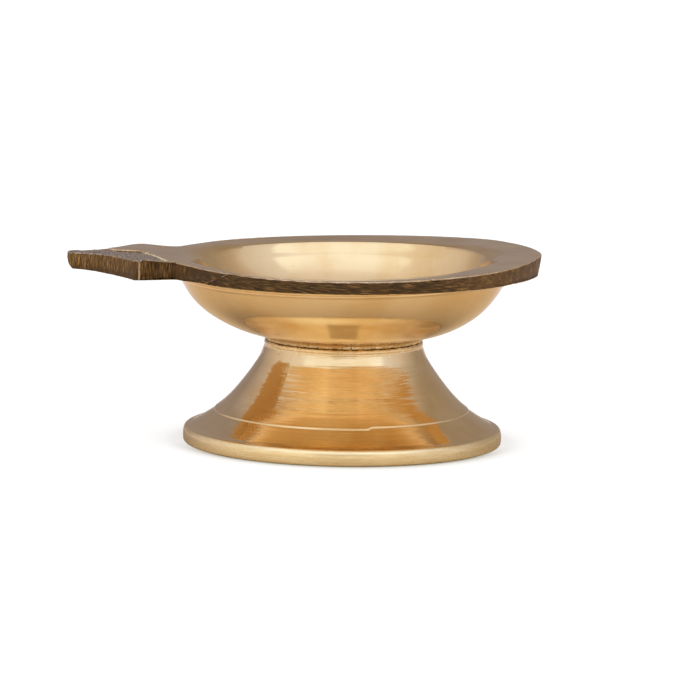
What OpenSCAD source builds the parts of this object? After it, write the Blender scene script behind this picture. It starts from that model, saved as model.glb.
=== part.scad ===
// Brass diya oil lamp: a cast bowl with a leaf-shaped rim, screwed down onto a
// hollow turned foot. Units are millimetres, +Z is up, the handle points to -X
// and the pouring lip to +X. The origin is the centre of the foot's ring on the
// surface that the lamp stands on.

/* [Foot] */
// Largest diameter of the foot, around its bottom band
foot_d = 88; // [84:0.5:92]
// Height of the vertical band at the bottom of the foot
band_h = 4.5; // [3.5:0.1:6]
// Height of the seat where the bowl meets the foot
seat_z = 28.6; // [27:0.1:31]
// Diameter of the foot's neck at the seat
neck_d = 43.4; // [40:0.2:46]
// Radius of the hollow curve of the foot's flank
flare_r = 43; // [40:1:50]
// Wall thickness of the foot
foot_wall = 2.3; // [1.8:0.1:3]
// Thickness of the web across the top of the foot
web_t = 3.2; // [2.5:0.1:4]
// Height of the fine turned line around the flank
line_z = 8.8; // [7.5:0.1:12]

/* [Bowl] */
// Outer diameter of the bowl just under its rim plate
bowl_d = 91; // [88:0.5:92]
// Diameter of the basin at the crease where it meets the rim plate
basin_d = 83.6; // [81:0.2:85]
// Height of the middle of the basin floor
floor_z = 32.9; // [32.6:0.1:34]
// Angle by which the bowl casting stands out of square, lip up
lean = 0.8; // [0:0.1:1.2]

/* [Rim] */
// Height of the rim's top face in the middle of its length
rim_top_z = 51.1; // [50.5:0.1:52]
// Height of the rim's lower face
rim_low_z = 47.55; // [47.2:0.05:48]
// Radius of the long hollow curve along the rim's top face
rim_sag_r = 1080; // [900:20:1500]
// Diameter of the round part of the rim
rim_d = 103; // [100:0.5:106]
// Distance from the bowl's axis to the tip of the lip
lip_x = 54.6; // [54:0.1:56]
// Distance from the bowl's axis to the tip of the handle
handle_x = 76.2; // [74:0.2:78]
// Width of the handle across its shoulders
handle_w = 39; // [36:0.5:40]
// Depth of the rough hollow on the handle's top face
hollow_t = 0.5; // [0.3:0.1:0.9]

/* [Stud and nut] */
// Diameter of the threaded stud, an M6
stud_d = 6; // [5:1:8]
// Depth of the stud's blind hole in the bowl's boss
stud_hole_t = 2.8; // [2:0.1:3]
// Length of the stud that stands out below the nut
stud_end_t = 2.3; // [1:0.1:3]
// Width of the nut across its flats
nut_af = 10; // [10:0.5:13]
// Thickness of the nut
nut_t = 5; // [4:0.1:6]
// Outer diameter of the washer
washer_d = 14; // [12:0.5:18]
// Thickness of the washer
washer_t = 1.6; // [1:0.1:2]

/* [Hidden] */
$fn = 96;
big = 400;
arc_steps = 14;

brass = [0.80, 0.62, 0.33];
foot_brass = [0.84, 0.66, 0.36];
hardware_brass = [0.72, 0.58, 0.34];
steel = [0.62, 0.62, 0.60];

// Foot
band_r = foot_d / 2;
edge_round = 1;
band_top_r = band_r - 1;
band_high = [band_r - 0.2, band_h - 1];
flank_r = band_r - 2.2;
flank_low_z = band_h + 0.15;
flank_high = [neck_d / 2 - 0.1, seat_z - 1];
flank_steps = 20;
ring_t = 4;
bead_r = 0.9;
bead_high = [neck_d / 2 - 0.5, seat_z];
bead_low = [neck_d / 2 - 0.2, seat_z - 1.6];
line_turn = 32;
line_w = 0.6;
line_t = 0.3;
web_low_z = seat_z - web_t;
web_hole_r = stud_d / 2 + 0.3;

// Bowl
boss_r = neck_d / 2 + 0.2;
boss_top_z = seat_z + 0.9;
boss_round = 0.3;
belly_r = 37.3;
belly_z = 36.05;
belly_low_r = 28;
belly_high_r = 23.7;
step_z = 45.8;
step_t = 0.5;
cove_low = [bowl_d / 2 + 0.4, rim_low_z - 0.4];
cove_high = [bowl_d / 2 + 1, rim_low_z + 0.1];
rim_overlap = 1;
floor_curve_r = 260;
floor_edge_r = 24;
basin_r = basin_d / 2;
basin_out_r = basin_r + 1.2;
basin_out_z = rim_top_z + 0.3;
crease_t = 0.8;

// Rim
rim_x = 4;
lip_arc_r = 70.7;
lip_arc_y = 5.9;
shoulder_x = 57.2;
arris_x = 55.6;
arris_t = 0.4;
neck_x = 47.5;
neck_run = 2.4;
neck_half_w = 15.9;
root_x = 38;
root_half_w = 30;
tip_half_w = 3;
tip_round = 1.6;
taper_power = 2.1;
handle_top_z = 52.75;
neck_top_z = 51.95;
sag_x = 43;
lip_top_z = 52.5;
lip_low = [lip_x - 1.5, rim_low_z - 0.4];
low_edge = [[46, rim_low_z], [-40, rim_low_z], [-52, rim_low_z - 0.5], [-65, rim_low_z - 0.15]];
tip_low = [[1.6 - handle_x, rim_low_z + 0.7], [0.4 - handle_x, rim_low_z + 2.2]];
tip_face_z = handle_top_z - 1;
hollow_plan = [
    [-48.2, -30], [-48.4, -14], [-51, -7], [-54, -1.2], [-57, 1.8], [-62, 3],
    [-66, 7], [-80, 9], [-80, -30]
];

// Stud and nut
thread_gap = 0.05;
nut_top_z = web_low_z - washer_t;
nut_low_z = nut_top_z - nut_t;
stud_low_z = nut_low_z - stud_end_t;
stud_top_z = seat_z + stud_hole_t;

// Points from p to q along an arc of radius r. side is 1 where the centre lies to
// the left of the way from p to q, and -1 where it lies to the right.
function arc(p, q, r, side, steps = arc_steps) =
    let (
        d = q - p,
        half = norm(d) / 2,
        middle = (p + q) / 2,
        normal = [-d[1], d[0]] / norm(d),
        c = middle + side * sqrt(r * r - half * half) * normal,
        a = atan2(p[1] - c[1], p[0] - c[0]),
        b = atan2(q[1] - c[1], q[0] - c[0]),
        turn = b - a > 180 ? b - a - 360 : b - a < -180 ? b - a + 360 : b - a
    )
    [for (i = [0:steps]) c + r * [cos(a + turn * i / steps), sin(a + turn * i / steps)]];

// The same points without the first, to go on from an arc that ends at p
function rest(points) = [for (i = [1:len(points) - 1]) points[i]];

// ---- Foot ----

// Flank of the foot from the top of the band up to the neck
flank = arc([flank_r, flank_low_z], flank_high, flare_r, -1, flank_steps);

module foot() {
    outside = concat(
        [[0, seat_z], bead_high],
        rest(arc(bead_high, bead_low, bead_r, -1, 6)),
        [for (i = [flank_steps:-1:0]) flank[i]],
        [[band_top_r, band_h], band_high, [band_r, band_h / 2]],
        arc([band_r, edge_round], [band_r - edge_round, 0], edge_round, -1, 4),
        [[0, 0]]
    );
    inside = concat(
        [[0, web_low_z], [neck_d / 2 - foot_wall, web_low_z]],
        arc([neck_d / 2 - foot_wall, web_low_z], [band_r - ring_t, band_h], flare_r + foot_wall, 1),
        [[band_r - ring_t, -1], [0, -1]]
    );
    color(foot_brass)
    difference() {
        rotate_extrude() difference() {
            polygon(outside);
            polygon(inside);
        }
        translate([0, 0, web_low_z - 1]) cylinder(h = web_t + 2, r = web_hole_r);
        flank_line();
    }
}

// Fine turned line around the flank
module flank_line() {
    below = [for (p = flank) if (p[1] <= line_z) p];
    rotate_extrude() translate(below[len(below) - 1]) rotate(-line_turn)
        square([line_w, line_t * 2], center = true);
}

// ---- Bowl ----

// Half section of the outside of the bowl, from the boss up into the rim plate
function bowl_outside() = concat(
    [[0, seat_z - 1], [boss_r, seat_z - 1], [boss_r, boss_top_z]],
    arc([boss_r + boss_round, boss_top_z + boss_round], [belly_r, belly_z], belly_low_r, 1),
    rest(arc([belly_r, belly_z], [bowl_d / 2 - step_t, step_z], belly_high_r, 1)),
    [[bowl_d / 2, step_z], cove_low, cove_high],
    [[cove_high[0], rim_low_z + rim_overlap], [0, rim_low_z + rim_overlap]]
);

// Half section of the basin: a shallow floor, a steep side and a soft crease
module basin() {
    edge_z = floor_z + floor_curve_r - sqrt(pow(floor_curve_r, 2) - pow(floor_edge_r, 2));
    edge = [floor_edge_r, edge_z];
    crease = [basin_r - crease_t, rim_top_z - crease_t];
    chord = crease - edge;
    bend = atan2(chord[1], chord[0]) - asin(floor_edge_r / floor_curve_r);
    side_r = norm(chord) / (2 * sin(bend));
    section = concat(
        arc([0, floor_z], edge, floor_curve_r, 1),
        rest(arc(edge, crease, side_r, 1)),
        [[basin_out_r, basin_out_z], [basin_out_r, big], [0, big]]
    );
    rotate_extrude() polygon(section);
}

// Plan of one side of the handle, from the rim out to the tip
function handle_side(way) =
    let (
        shoulder = handle_w / 2,
        end_x = handle_x - tip_round,
        taper = shoulder - tip_half_w,
        run = end_x - shoulder_x
    )
    concat(
        [[0, way * root_half_w], [-root_x, way * root_half_w], [-neck_x, way * neck_half_w]],
        [[-neck_x - neck_run, way * neck_half_w], [-arris_x, way * (shoulder - arris_t)]],
        [for (t = [1:-0.125:0.125])
            [-end_x + run * t, way * (tip_half_w + taper * pow(t, taper_power))]],
        [for (a = [0:30:90])
            [-end_x - tip_round * sin(a), way * (tip_half_w - tip_round * (1 - cos(a)))]]
    );

// Plan of the whole rim: a round plate, drawn out to a blunt lip and a handle
module rim_plan() {
    lens_x = lip_x - sqrt(pow(lip_arc_r, 2) - pow(lip_arc_y, 2));
    intersection() {
        translate([rim_x, 0]) circle(d = rim_d);
        translate([lens_x, lip_arc_y]) circle(r = lip_arc_r);
        translate([lens_x, -lip_arc_y]) circle(r = lip_arc_r);
    }
    near_side = handle_side(-1);
    far_side = handle_side(1);
    polygon(concat(near_side, [for (i = [len(far_side) - 1:-1:0]) far_side[i]]));
}

// Side view of the rim plate, which gives its thickness along the lamp
module rim_side() {
    polygon(concat(
        [[-arris_x, handle_top_z], [-neck_x, neck_top_z]],
        arc([-sag_x, neck_top_z], [lip_x, lip_top_z], rim_sag_r, 1),
        [lip_low],
        low_edge,
        tip_low,
        [[-handle_x, tip_face_z], [-handle_x, handle_top_z]]
    ));
}

// Rough hollow left by the mould on the near half of the handle's top face
module handle_hollow() {
    translate([0, 0, handle_top_z - hollow_t]) linear_extrude(height = big)
        polygon(hollow_plan);
}

module bowl() {
    color(brass)
    difference() {
        translate([0, 0, seat_z]) rotate([0, -lean, 0]) translate([0, 0, -seat_z])
            difference() {
                union() {
                    rotate_extrude() polygon(bowl_outside());
                    intersection() {
                        linear_extrude(height = big) rim_plan();
                        translate([0, big / 2, 0]) rotate([90, 0, 0])
                            linear_extrude(height = big) rim_side();
                    }
                }
                basin();
                handle_hollow();
            }
        translate([-big / 2, -big / 2, seat_z - big]) cube([big, big, big]);
        translate([0, 0, seat_z - 1])
            cylinder(h = stud_hole_t + 1, r = stud_d / 2 + thread_gap);
    }
}

// ---- Fastening ----

module stud() {
    color(hardware_brass)
    translate([0, 0, stud_low_z]) cylinder(h = stud_top_z - stud_low_z, r = stud_d / 2);
}

module washer() {
    color(steel)
    translate([0, 0, nut_top_z]) difference() {
        cylinder(h = washer_t, d = washer_d);
        translate([0, 0, -1]) cylinder(h = washer_t + 2, r = web_hole_r);
    }
}

module nut() {
    color(hardware_brass)
    translate([0, 0, nut_low_z]) difference() {
        cylinder(h = nut_t, d = nut_af / cos(30), $fn = 6);
        translate([0, 0, -1]) cylinder(h = nut_t + 2, r = stud_d / 2 + thread_gap);
    }
}

bowl();
foot();
stud();
washer();
nut();
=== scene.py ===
"""Looks of a brass diya oil lamp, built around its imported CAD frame.

Two castings, the bowl and the hollow foot, meet at a pitted seam. A threaded stud,
a washer and a nut hold them together from below. Lengths are millimetres in the mesh
code and metres in Blender.
"""

import math

import bmesh
import bpy
import numpy as np
from mathutils import Matrix, Vector


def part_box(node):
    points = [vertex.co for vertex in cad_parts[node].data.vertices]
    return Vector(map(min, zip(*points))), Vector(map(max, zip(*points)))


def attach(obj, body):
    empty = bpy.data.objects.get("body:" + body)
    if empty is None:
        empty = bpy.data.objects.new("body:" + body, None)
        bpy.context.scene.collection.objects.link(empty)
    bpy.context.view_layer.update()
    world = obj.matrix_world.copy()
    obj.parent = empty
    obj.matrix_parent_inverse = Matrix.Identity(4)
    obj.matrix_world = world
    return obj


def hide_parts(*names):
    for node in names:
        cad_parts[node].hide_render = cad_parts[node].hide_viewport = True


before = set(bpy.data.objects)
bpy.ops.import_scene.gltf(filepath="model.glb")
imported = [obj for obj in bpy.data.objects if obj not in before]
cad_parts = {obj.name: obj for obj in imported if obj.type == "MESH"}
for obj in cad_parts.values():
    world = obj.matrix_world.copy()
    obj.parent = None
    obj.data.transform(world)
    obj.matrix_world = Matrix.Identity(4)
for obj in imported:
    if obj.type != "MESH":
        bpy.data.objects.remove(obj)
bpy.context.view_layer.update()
scene = bpy.context.scene
MM = 0.001
TAU = 2 * math.pi

# ---- Sizes, from the CAD boxes ----


def box_mm(node):
    low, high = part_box(node)
    return np.array(low) / MM, np.array(high) / MM


foot_high = box_mm("foot")[1]
stud_low, stud_high = box_mm("stud")
washer_low, washer_high = box_mm("washer")
nut_low, nut_high = box_mm("nut")

BAND_R = foot_high[0]  # the foot's bottom band
BAND_H = 4.5
SEAT_Z = foot_high[2]  # where the bowl meets the foot
STUD_R = stud_high[0]
STUD_LOW_Z, STUD_TOP_Z = stud_low[2], stud_high[2]
WEB_LOW_Z = washer_high[2]  # underside of the foot's web
WEB_HOLE_R = 3.3
WASHER_R = washer_high[0]
NUT_LOW_Z, NUT_TOP_Z = nut_low[2], nut_high[2]
NUT_FLAT_R = nut_high[1]  # to a flat, because the corners point along X
NECK_R = 21.7
LEAN = math.radians(0.8)  # the bowl stands out of square, lip up

# ---- Noise and mesh helpers ----


def lattice(cells, seed):
    """Repeatable pseudo-random numbers from 0 to 1 for integer cells."""
    h = np.full(cells[0].shape, seed * 2654435761 % 2**32, np.uint64)
    for c, prime in zip(cells, (374761393, 668265263, 2147483647)):
        h = (h ^ (c.astype(np.int64) & 0xFFFFFFFF).astype(np.uint64)) * prime % 2**32
        h = (h ^ (h >> 13)) * 1274126177 % 2**32
    return (h ^ (h >> 16)) % 65536 / 65535.0


def noise(*coords, seed=1):
    """Smooth noise from -1 to 1 at these coordinates, one array for each axis."""
    coords = np.broadcast_arrays(*[np.asarray(c, float) for c in coords])
    low = [np.floor(c).astype(np.int64) for c in coords]
    frac = [c - f for c, f in zip(coords, low)]
    ease = [f * f * (3 - 2 * f) for f in frac]
    total = np.zeros(coords[0].shape)
    for corner in range(2 ** len(coords)):
        bits = [corner >> axis & 1 for axis in range(len(coords))]
        weight = np.ones(coords[0].shape)
        for e, bit in zip(ease, bits):
            weight = weight * (e if bit else 1 - e)
        total += weight * lattice([c + bit for c, bit in zip(low, bits)], seed)
    return total * 2 - 1


def fractal(*coords, seed=1, octaves=3):
    """Noise with finer and weaker layers on top."""
    total, size = 0, 0
    for k in range(octaves):
        total = total + noise(*[np.asarray(c) * 2.03**k for c in coords], seed=seed + k) / 1.9**k
        size += 1 / 1.9**k
    return total / size


def smoothstep(low, high, x):
    t = np.clip((x - low) / (high - low), 0, 1)
    return t * t * (3 - 2 * t)


def arc_centre(p, q, r, side):
    """Centre of the arc from p to q. side is 1 where it lies to the left."""
    d = q - p
    half = np.hypot(*d) / 2
    return (p + q) / 2 + side * math.sqrt(r * r - half * half) * np.array([-d[1], d[0]]) / (2 * half)


def arc(p, q, r, side, steps):
    """Points from p to q on an arc. side is 1 where the centre lies to the left."""
    p, q = np.array(p, float), np.array(q, float)
    c = arc_centre(p, q, r, side)
    a = math.atan2(p[1] - c[1], p[0] - c[0])
    turn = math.atan2(q[1] - c[1], q[0] - c[0]) - a
    turn = (turn + math.pi) % TAU - math.pi
    t = a + turn * np.linspace(0, 1, steps + 1)
    return np.stack([c[0] + r * np.cos(t), c[1] + r * np.sin(t)], -1)


def resample(points, gaps):
    """Points along a line, spaced by gaps, an array with a wanted gap at each point."""
    points = np.asarray(points, float)
    step = np.hypot(*np.diff(points, axis=0).T)
    weight = np.concatenate([[0], np.cumsum(step / ((gaps[1:] + gaps[:-1]) / 2))])
    count = max(2, int(round(weight[-1])) + 1)
    at = np.linspace(0, weight[-1], count)
    return np.stack([np.interp(at, weight, points[:, k]) for k in range(points.shape[1])], -1)


def circle(columns):
    """Evenly spaced directions in plan."""
    theta = np.arange(columns) * TAU / columns
    return np.stack([np.cos(theta), np.sin(theta)], -1)


def ring(dirs, r, z):
    """Points at radius r and height z, in these directions. r and z may be arrays."""
    return np.column_stack([dirs * np.reshape(r, (-1, 1)), np.zeros(len(dirs)) + z])


def pole(z):
    return np.array([[0, 0, z]])


def join_rings(start_a, na, start_b, nb):
    """Faces between two rings, given each one's first point and its number of points."""
    if na == 1 or nb == 1:
        end, start, n = (start_a, start_b, nb) if na == 1 else (start_b, start_a, na)
        for i in range(n):
            tri = (start + i, start + (i + 1) % n, end)
            yield tri[::-1] if na == 1 else tri
    elif na == nb:
        for i in range(na):
            j = (i + 1) % na
            yield start_a + i, start_a + j, start_b + j, start_b + i
    else:
        fine, coarse, n = (start_a, start_b, nb) if na > nb else (start_b, start_a, na)
        for i in range(n):
            f0, f1, f2 = fine + 2 * i, fine + 2 * i + 1, fine + (2 * i + 2) % (2 * n)
            c0, c1 = coarse + i, coarse + (i + 1) % n
            yield (f0, f1, c0) if na > nb else (c0, f1, f0)
            yield (f1, f2, c1, c0) if na > nb else (c0, c1, f2, f1)


def link_mesh(name, points, faces):
    """An object from points in millimetres."""
    mesh = bpy.data.meshes.new(name)
    mesh.from_pydata((np.array(points) * MM).tolist(), [], faces)
    obj = bpy.data.objects.new(name, mesh)
    scene.collection.objects.link(obj)
    return obj


def make_object(name, rings, body, replaced, closed=True):
    """A closed mesh from rings of points. Neighbours have as many points as each other, or
    one has twice as many. A ring of one point is a pole. The last joins the first if closed."""
    starts = np.cumsum([0] + [len(r) for r in rings[:-1]]).tolist()
    order = list(range(len(rings))) + ([0] if closed else [])
    faces = []
    for a, b in zip(order, order[1:]):
        faces.extend(join_rings(starts[a], len(rings[a]), starts[b], len(rings[b])))
    obj = link_mesh(name, np.concatenate(rings), faces)
    obj.data.validate()
    obj.data.update()
    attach(obj, body)
    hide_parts(*replaced)
    return obj


def finish_mesh(obj, angle=32):
    """Outward normals, smooth shading and crisp edges above this angle in degrees."""
    work = bmesh.new()
    work.from_mesh(obj.data)
    bmesh.ops.recalc_face_normals(work, faces=work.faces)
    for face in work.faces:
        face.smooth = True
    for edge in work.edges:
        if len(edge.link_faces) == 2:
            edge.smooth = edge.calc_face_angle(0) < math.radians(angle)
    work.to_mesh(obj.data)
    work.free()


def mesh_points(obj):
    co = np.zeros(len(obj.data.vertices) * 3)
    obj.data.vertices.foreach_get("co", co)
    return co.reshape(-1, 3) / MM


def store(obj, name, values, kind="FLOAT"):
    attribute = obj.data.attributes.new(name, kind, "POINT")
    key = "vector" if kind == "FLOAT_VECTOR" else "value"
    attribute.data.foreach_set(key, np.asarray(values, np.float32).ravel())


# ---- Foot ----

FOOT_COLUMNS = 512
LINE_Z = 8.8  # the fine turned line
FLANK_R, INNER_R = 43, 45.3
CONE_LOW_Z, CONE_DEEP = 24.3, 0.2
OUTSIDE_R = 20.9  # the neck's smallest radius, less a little


def foot_flank():
    """(r, z) up the outside. Next to the neck it is a straight cone, then it bends out to
    its curve again."""
    flank = arc([BAND_R - 2.2, BAND_H + 0.15], [NECK_R - 0.1, SEAT_Z - 1], FLANK_R, -1, 400)
    for shift in (-0.4, -0.2, 0.0, 0.2, 0.4):
        z = np.minimum(flank[:, 1] + shift, SEAT_Z - 1)
        above = ((SEAT_Z - 1 - z) / (SEAT_Z - 1 - CONE_LOW_Z)) ** 2
        under = CONE_LOW_Z - z
        belly = smoothstep(2, 8, under) * (1 - smoothstep(8, 15, under))
        below = 1 - smoothstep(0, 4, under) - 1.25 * belly
        flank[:, 0] -= CONE_DEEP / 5 * np.where(z > CONE_LOW_Z, above, below)
    return flank


def foot_section(flank):
    """(r, z) from the seat down the outside and up the inside, closer where there is detail."""
    seat = [[4.0, SEAT_Z], [NECK_R - 3, SEAT_Z], [NECK_R - 0.35, SEAT_Z], [NECK_R - 0.2, SEAT_Z - 0.05]]
    bead = [(-0.06, 0.14), (0.1, 0.34), (0.24, 0.75), (0.28, 1.0), (0.2, 1.16), (0.06, 1.3)]
    bead = [[NECK_R + out, SEAT_Z - down] for out, down in bead]
    outside = flank[::-1]
    outside = outside[outside[:, 1] < SEAT_Z - 1.55]
    band = [(1.7, 4.56), (1.2, 4.47), (0.75, 4.3), (0.42, 4.02), (0.18, 3.55), (0.05, 2.9),
            (0, 2.2), (0.02, 1.1), (0.06, 0.5), (0.25, 0.15), (0.6, 0), (3.1, 0), (3.7, 0.25),
            (4.0, 0.9), (4.0, BAND_H)]
    band = [[BAND_R - inset, z] for inset, z in band]
    inner = arc([NECK_R - 2.3, WEB_LOW_Z - 1.2], [BAND_R - 4, BAND_H], INNER_R, 1, 60)[::-1]
    web = [[NECK_R - 2.9, WEB_LOW_Z - 0.35], [NECK_R - 3.8, WEB_LOW_Z - 0.03], [NECK_R - 5, WEB_LOW_Z],
           [8, WEB_LOW_Z], [WEB_HOLE_R + 0.45, WEB_LOW_Z], [WEB_HOLE_R + 0.15, WEB_LOW_Z + 0.12],
           [WEB_HOLE_R, WEB_LOW_Z + 0.45], [WEB_HOLE_R, SEAT_Z - 0.5], [WEB_HOLE_R + 0.2, SEAT_Z - 0.12]]
    parts = [(seat, 1.6), (bead, 0.3), (outside, 0.62), (band, 0.4), (inner[1:], 1.6), (web, 1.0)]
    rz = np.concatenate([points for points, gap in parts])
    gaps = np.concatenate([np.full(len(points), gap) for points, gap in parts])
    return resample(rz, np.where(np.abs(rz[:, 1] - LINE_Z) < 0.9, 0.11, gaps))


def turned_outside(c, s, z):
    """How far the foot's outside stands out all round at a height, and how far it sinks."""
    # Faint waves of the turning tool, and a step cut by the fine line, which jogs once
    dr = 0.012 * noise(c * 2.2, s * 2.2, z * 0.55 + 9, seed=3) + 0.006 * noise(c * 5, s * 5, z * 1.7, seed=4)
    theta = np.arctan2(s, c)
    jog = 0.45 * smoothstep(-1.375, -1.335, theta) * smoothstep(2.5, -0.3, theta)
    off = z - LINE_Z - 0.05 * noise(c * 3, s * 3, seed=5) - jog
    dr += 0.2 * (2 * smoothstep(-0.25, 0.25, off) - 1) * np.exp(-np.maximum(np.abs(off) - 0.25, 0) / 1.3)
    # The bead at the neck, uneven and pitted
    near = smoothstep(SEAT_Z - 1.6, SEAT_Z - 0.9, z) * (z < SEAT_Z - 0.02)
    uneven = 0.09 * fractal(c * 7, s * 7, z * 0.9, seed=6)
    dr += near * (uneven + 0.04 * noise(c * 30, s * 30, z * 2.2, seed=7))
    patches = smoothstep(0.1, 0.5, noise(c * 1.6 + 3, s * 1.6, seed=14) + 0.25)
    pitted = smoothstep(SEAT_Z - 3.2, SEAT_Z - 1.6, z) * patches
    dr -= np.maximum(near, pitted) * 0.6 * np.clip(noise(c * 30, s * 30, z * 1.7, seed=8) - 0.5, 0, 1)
    # Nicks along the band
    if z < 5:
        dr += 0.02 * noise(c * 8, s * 8, z * 0.8, seed=10)
        dr -= 0.1 * np.clip(noise(c * 30, s * 30, z * 1.1, seed=11) - 0.62, 0, 1)
    return dr, near * (z > SEAT_Z - 0.8) * -0.08 * np.abs(noise(c * 14, s * 14, seed=9))


def make_foot():
    flank = foot_flank()
    dirs = circle(FOOT_COLUMNS)
    c, s = dirs.T
    rings = []
    for r, z in foot_section(flank):
        on_flank = np.min(np.hypot(flank[:, 0] - r, flank[:, 1] - z)) < 0.6
        on_band = z < 4.6 and r > BAND_R - 3.2
        dr, dz = 0.0, 0.0
        if r > OUTSIDE_R and (on_flank or on_band or z > SEAT_Z - 2.3):
            dr, dz = turned_outside(c, s, z)
        elif z < WEB_LOW_Z + 0.02 and r > 9 and z > 0.3:
            # Cast inside, never machined
            dr = 0.16 * fractal(c * r * 0.42, s * r * 0.42, z * 0.42, seed=12)
            dr = dr + 0.05 * noise(c * r * 1.1, s * r * 1.1, z * 1.1, seed=13)
        if r > BAND_R - 1:
            dr = np.minimum(dr, max(0.0, BAND_R - r))
        rings.append(ring(dirs, r + dr, np.maximum(z + dz, 0)))
    obj = make_object("lamp_foot", rings, "foot", ["foot"])
    finish_mesh(obj, 50)
    return obj


# ---- Bowl ----

BOSS_R = NECK_R + 0.2
BASIN_R = 41.8
FLOOR_Z, FLOOR_R, FLOOR_EDGE = 32.9, 260.0, 24.0
RIM_LOW_Z, RIM_TOP_Z = 47.55, 51.1
CREASE_T = 0.8
HANDLE_X, LIP_X = 76.2, 54.6
HANDLE_TOP_Z, NECK_TOP_Z, LIP_TOP_Z = 52.75, 51.95, 52.5
SHOULDER_X, SHOULDER_W = 57.2, 19.5
ARRIS_X, ARRIS_W = 55.6, 19.1
HOLLOW = [(-48.2, -30), (-48.4, -14), (-51, -7), (-54, -1.2), (-57, 1.8), (-62, 3), (-66, 7),
          (-80, 9), (-80, -30)]


def fillet(points, radii):
    """Rounds the corners of an open line of points."""
    out = [np.array(points[0], float)]
    for k in range(1, len(points) - 1):
        a, b, c = (np.array(points[j], float) for j in (k - 1, k, k + 1))
        r = radii[k]
        if not r:
            out.append(b)
            continue
        u, v = (a - b) / np.hypot(*(a - b)), (c - b) / np.hypot(*(c - b))
        half = math.acos(np.clip(u @ v, -1, 1)) / 2
        cut = min(r / math.tan(half), np.hypot(*(a - b)) * 0.48, np.hypot(*(c - b)) * 0.48)
        for t in np.linspace(0, 1, 13):
            out.append((1 - t) ** 2 * (b + u * cut) + 2 * t * (1 - t) * b + t * t * (b + v * cut))
    out.append(np.array(points[-1], float))
    return np.array(out)


def half_outline():
    """Plan of the rim's far half, from the lip's tip round to the handle's tip."""
    rim_x, rim_r = 4.0, 51.5
    lens_r, lens_y = 70.7, 5.9
    lens_x = LIP_X - math.sqrt(lens_r**2 - lens_y**2)
    points = []
    for t in np.linspace(0, math.radians(141.75), 1400):
        d = np.array([math.cos(t), math.sin(t)])
        reach = []
        for cx, cy, r in ((rim_x, 0, rim_r), (lens_x, -lens_y, lens_r)):
            b = d[0] * cx + d[1] * cy
            reach.append(b + math.sqrt(b * b - cx * cx - cy * cy + r * r))
        points.append(d * min(reach))
    tip_w, tip_r = 3.0, 1.6
    end_x = HANDLE_X - tip_r
    corners = [points[-1], [-47.5, 15.7], [-50.3, 15.7], [-ARRIS_X, ARRIS_W], [-56.2, SHOULDER_W],
               [-SHOULDER_X, SHOULDER_W], [-58.2, 18.3]]
    side = fillet(corners, [0, 1.6, 5, 0, 1.2, 2, 0])
    taper = [[-end_x + (end_x - SHOULDER_X) * t, tip_w + (SHOULDER_W - tip_w) * t**2.1]
             for t in np.linspace(0.965, 0, 60)]
    nose = [[-end_x - tip_r * math.sin(a), tip_w - tip_r * (1 - math.cos(a))]
            for a in np.linspace(0, math.pi / 2, 14)]
    line = np.array(points[:-1] + side[:-1].tolist() + taper + nose[1:] + [[-HANDLE_X, 0]])
    line = line[np.concatenate([[True], np.hypot(*np.diff(line, axis=0).T) > 1e-6])]
    # Finer steps at the shoulder's arris and round the tip
    dense = resample(line, np.full(len(line), 0.05))
    arris = np.hypot(dense[:, 0] + ARRIS_X, dense[:, 1] - ARRIS_W)
    tip = np.hypot(dense[:, 0] + HANDLE_X, dense[:, 1] - 2)
    return resample(dense, 0.5 - 0.36 * np.exp(-((arris / 0.8) ** 2)) - 0.16 * np.exp(-((tip / 4) ** 2)))


def whole_outline():
    half = half_outline()
    if len(half) % 2 == 0:
        mid = (half[10] + half[11]) / 2
        half = np.insert(half, 11, mid, axis=0)
    # The far shoulder is worn round, the near one still has its arris
    far = half.copy()
    worn = np.exp(-((np.hypot(half[:, 0] + ARRIS_X, half[:, 1] - ARRIS_W) / 4.5) ** 2))[1:-1, None]
    for _ in range(260):
        far[1:-1] += 0.45 * worn * ((far[:-2] + far[2:]) / 2 - far[1:-1])
    return np.concatenate([far, half[-2:0:-1] * [1, -1]])


TOP_SAG_R = 1080.0
SAG_X = -43
TOP_LINE = ([-HANDLE_X, -62, -56, -48, SAG_X],
            [HANDLE_TOP_Z, HANDLE_TOP_Z, HANDLE_TOP_Z, NECK_TOP_Z, NECK_TOP_Z])
LOW_LINE = ([-75, -70, -65, -60, -52, -44, -40, 46, 53.1],
            [48.25, 47.85, 47.4, 47.2, 47.05, 47.25, 47.5, RIM_LOW_Z, 47.15])


def top_z(x):
    """Height of the rim plate's top face along the lamp, before the lean."""
    c = arc_centre(np.array([SAG_X, NECK_TOP_Z]), np.array([LIP_X, LIP_TOP_Z]), TOP_SAG_R, 1)
    total = 0
    for shift in np.linspace(-1.3, 1.3, 7):
        at = np.asarray(x) + shift
        sag = c[1] - np.sqrt(TOP_SAG_R**2 - (np.clip(at, SAG_X, 60) - c[0]) ** 2)
        total = total + np.where(at < SAG_X, np.interp(at, *TOP_LINE), sag)
    return total / 7


def dish(x, y):
    """How far the plate dips towards the basin, in front and at the back of the bowl."""
    r = np.hypot(x, y)
    share = np.clip((50.3 - r) / 7.3, 0, 1) ** 1.25
    return 0.6 * share * (1 - smoothstep(26, 42, np.abs(x)))


def plate_z(x, y):
    """Height of the plate's top face, faintly uneven."""
    return top_z(x) - dish(x, y) + 0.012 * noise(x * 0.22, y * 0.22, seed=36)


def low_z(x):
    """Height of the rim plate's underside along the lamp, before the lean."""
    return sum(np.interp(np.asarray(x) + shift, *LOW_LINE) for shift in np.linspace(-1.0, 1.0, 5)) / 5


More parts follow.
